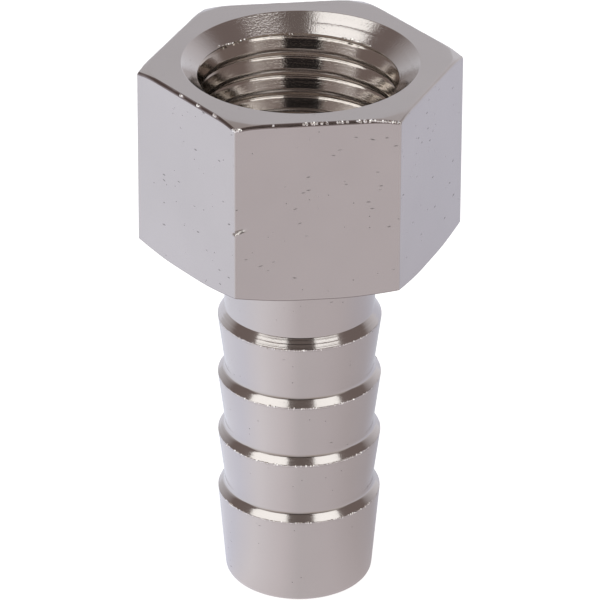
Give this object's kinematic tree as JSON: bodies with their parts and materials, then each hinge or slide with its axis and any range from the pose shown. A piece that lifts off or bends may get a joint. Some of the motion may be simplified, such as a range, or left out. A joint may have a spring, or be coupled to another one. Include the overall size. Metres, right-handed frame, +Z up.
{
  "type": "female threaded hose nipple",
  "caption": "Nickel-plated hose nipple: hexagon head with a female pipe thread, and a straight barbed tail for a push-on hose.",
  "frame": {"origin": "centre of the barbed tail's end face, which is the lowest point", "axes": "+Z up the fitting's axis towards the threaded mouth; two corners of the hexagon lie on X, two flats face +Y and -Y"},
  "size_m": [0.0196, 0.017, 0.0349],
  "materials": {
    "nickel_plated_brass": "bright nickel plate over turned brass"
  },
  "bodies": {
    "root": {"hose_nipple": "nickel_plated_brass"}
  },
  "joints": []
}
